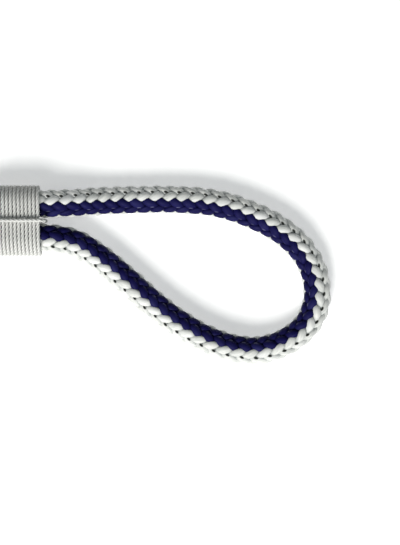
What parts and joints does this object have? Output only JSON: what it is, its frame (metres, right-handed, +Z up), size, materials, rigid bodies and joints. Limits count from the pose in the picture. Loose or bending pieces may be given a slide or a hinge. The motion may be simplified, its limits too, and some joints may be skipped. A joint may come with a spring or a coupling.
{
  "type": "dock line",
  "caption": "Braided mooring rope with a seized eye at one end, its standing part made up in a tied oval hank, and a whipped, melted bitter end.",
  "frame": {"origin": "on the surface that the made-up line lies on, under the middle of its plan", "axes": "+X from the hank towards the eye, along the longest side; +Z up, out of the surface, along the shortest side"},
  "size_m": [0.3806, 0.108, 0.0493],
  "materials": {
    "rope": "braided white synthetic fibre with navy wales",
    "seizing_twine": "white twisted twine",
    "whipping_twine": "white waxed twine",
    "melted_end": "fibre melted to a hard, slightly glossy button",
    "tie_twine": "white twisted twine"
  },
  "bodies": {
    "root": {"eye_rope": "rope", "rope_hank": "rope", "rope_end": "rope", "throat_seizing": "seizing_twine", "throat_frapping": "seizing_twine", "end_whipping": "whipping_twine", "tail_tip": "melted_end", "end_tip": "melted_end", "hank_tie_left": "tie_twine", "hank_tie_right": "tie_twine"}
  },
  "joints": []
}
